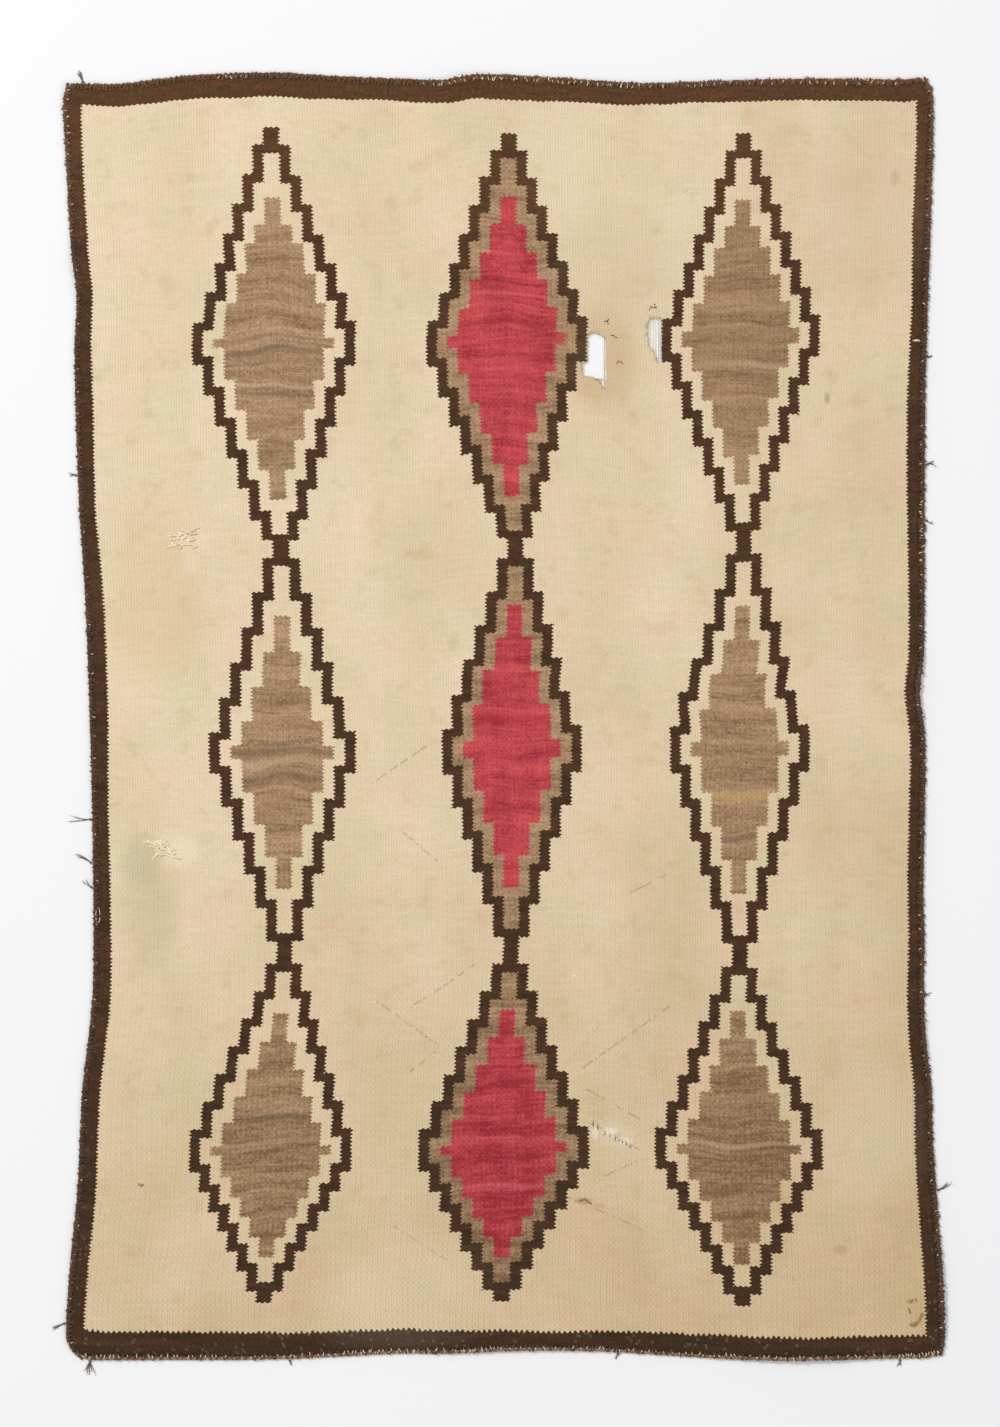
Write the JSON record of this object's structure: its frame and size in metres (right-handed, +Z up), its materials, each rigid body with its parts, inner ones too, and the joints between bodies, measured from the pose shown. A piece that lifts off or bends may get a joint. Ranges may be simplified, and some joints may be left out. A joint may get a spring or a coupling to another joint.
{
  "type": "navajo rug",
  "caption": "Old flat-woven wool rug with a dark border and linked terraced diamonds, its edge cords frayed and its web worn through and darned in places.",
  "frame": {"origin": "under the middle of the rug's bounding box, in the plane of its underside", "axes": "+X across the rug to the right in the picture, +Y along the warps to the picture's top, +Z up out of the rug's face"},
  "size_m": [1.2906, 1.8712, 0.0105],
  "materials": {
    "cream_wool": "matte handspun wool, tapestry woven",
    "dark_brown_wool": "matte handspun wool cord",
    "light_brown_wool": "matte worn wool yarn"
  },
  "bodies": {
    "root": {"web": "cream_wool", "left_side_cord": "dark_brown_wool", "right_side_cord": "dark_brown_wool", "lower_end_cord": "light_brown_wool", "upper_end_cord": "dark_brown_wool", "fray_left_corner": "light_brown_wool", "fray_left_low_a": "light_brown_wool", "fray_left_low_b": "light_brown_wool", "fray_left_low_c": "light_brown_wool", "fray_left_high": "light_brown_wool", "fray_right_low_a": "light_brown_wool", "fray_right_low_b": "light_brown_wool", "fray_right_high_a": "light_brown_wool", "fray_right_high_b": "light_brown_wool", "fray_right_high_c": "light_brown_wool", "fray_upper_corner": "light_brown_wool", "fray_lower_corner": "light_brown_wool", "fray_lower_a": "light_brown_wool", "fray_lower_b": "light_brown_wool", "fray_lower_c": "light_brown_wool", "darn_upper": "cream_wool", "darn_lower": "cream_wool"}
  },
  "joints": []
}
